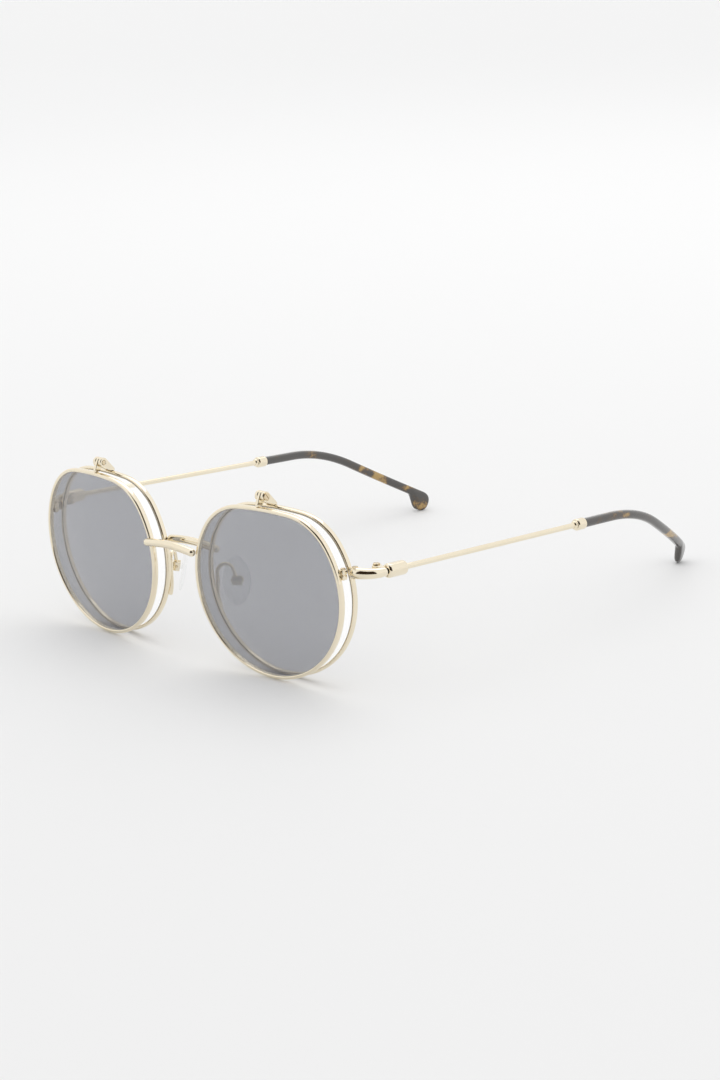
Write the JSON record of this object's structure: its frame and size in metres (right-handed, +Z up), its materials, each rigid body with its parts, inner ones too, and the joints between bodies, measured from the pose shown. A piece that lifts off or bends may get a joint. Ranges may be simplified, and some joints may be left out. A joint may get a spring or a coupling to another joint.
{
  "type": "flip-up sunglasses",
  "caption": "Round metal eyeglass frame with clear lenses and a tinted front that flips up on two small top hinges; the temples fold and end in curved tortoiseshell tips.",
  "frame": {"origin": "on the table, under the middle of the object's bounding box", "axes": "+X the wearer's left, +Y back towards the ears, +Z up; the wearer looks along -Y"},
  "size_m": [0.1258, 0.1578, 0.049],
  "materials": {
    "metal": "polished pale gold",
    "screw": "polished",
    "clear_lens": "clear",
    "tinted_lens": "neutral grey tint",
    "pad": "clear silicone",
    "tip": "tortoiseshell"
  },
  "bodies": {
    "frame": {"rear_rim_left": "metal", "rear_rim_right": "metal", "clear_lens_left": "clear_lens", "clear_lens_right": "clear_lens", "rear_bridge": "metal", "end_piece_left": "metal", "end_piece_right": "metal", "rim_screw_left": "screw", "rim_screw_right": "screw", "temple_pin_left": "screw", "temple_pin_right": "screw", "pad_arm_left": "metal", "pad_arm_right": "metal", "pad_box_left": "metal", "pad_box_right": "metal", "pad_screw_left": "screw", "pad_screw_right": "screw", "flip_yoke_left": "metal", "flip_yoke_right": "metal", "flip_pin_left": "screw", "flip_pin_right": "screw"},
    "flip_front": {"flip_rim_left": "metal", "flip_rim_right": "metal", "tinted_lens_left": "tinted_lens", "tinted_lens_right": "tinted_lens", "flip_bridge": "metal", "flip_knuckle_left": "metal", "flip_knuckle_right": "metal", "flip_block_left": "metal", "flip_block_right": "metal", "block_screw_left": "screw", "block_screw_right": "screw"},
    "temple_left": {"temple_collar_left": "metal", "temple_wire_left": "metal", "tip_ferrule_left": "metal", "temple_tip_left": "tip"},
    "pad_left": {"nose_pad_left": "pad"},
    "temple_right": {"temple_collar_right": "metal", "temple_wire_right": "metal", "tip_ferrule_right": "metal", "temple_tip_right": "tip"},
    "pad_right": {"nose_pad_right": "pad"}
  },
  "joints": [
    {"name": "flip_front_up", "type": "hinge", "parent": "frame", "child": "flip_front", "pos_m": [0, -0.07342, 0.04771], "axis": [-1, 0, 0], "range_deg": [0, 95]},
    {"name": "temple_left_fold", "type": "hinge", "parent": "frame", "child": "temple_left", "pos_m": [0.05811, -0.06199, 0.031], "axis": [0, 0, 1], "range_deg": [0, 84]},
    {"name": "temple_right_fold", "type": "hinge", "parent": "frame", "child": "temple_right", "pos_m": [-0.05811, -0.06199, 0.031], "axis": [0, 0, -1], "range_deg": [0, 90]},
    {"name": "pad_left_rock", "type": "hinge", "parent": "frame", "child": "pad_left", "pos_m": [0.01152, -0.06527, 0.0206], "axis": [0.682, 0.7314, 0], "range_deg": [-10, 10]},
    {"name": "pad_right_rock", "type": "hinge", "parent": "frame", "child": "pad_right", "pos_m": [-0.01152, -0.06527, 0.0206], "axis": [-0.682, 0.7314, 0], "range_deg": [-10, 10]}
  ]
}
